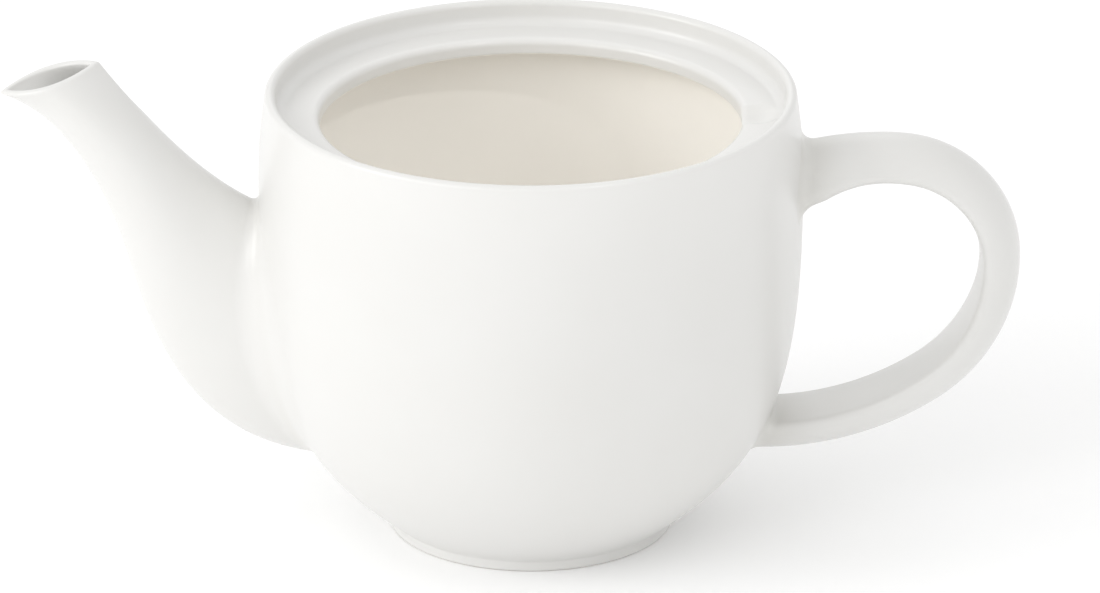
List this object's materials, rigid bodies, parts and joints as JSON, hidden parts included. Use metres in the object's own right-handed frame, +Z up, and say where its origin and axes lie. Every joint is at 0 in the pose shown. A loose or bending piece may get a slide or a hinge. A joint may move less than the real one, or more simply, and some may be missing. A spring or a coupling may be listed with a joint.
{
  "type": "teapot",
  "caption": "Low round porcelain teapot, open at the top, with a lid gallery, an upswept wide-mouthed spout and a strap loop handle.",
  "frame": {"origin": "centre of the foot ring, on the plane it stands on", "axes": "+Z up along the body's axis; the spout points along -X and the handle along +X"},
  "size_m": [0.2041, 0.109, 0.0986],
  "materials": {
    "glazed_porcelain": "satin white glaze",
    "slip": "fired slip under the same satin glaze"
  },
  "bodies": {
    "root": {"pot_body": "glazed_porcelain", "spout": "glazed_porcelain", "spout_slip_joint": "slip", "handle": "glazed_porcelain", "handle_upper_slip_joint": "slip", "handle_lower_slip_joint": "slip"}
  },
  "joints": []
}
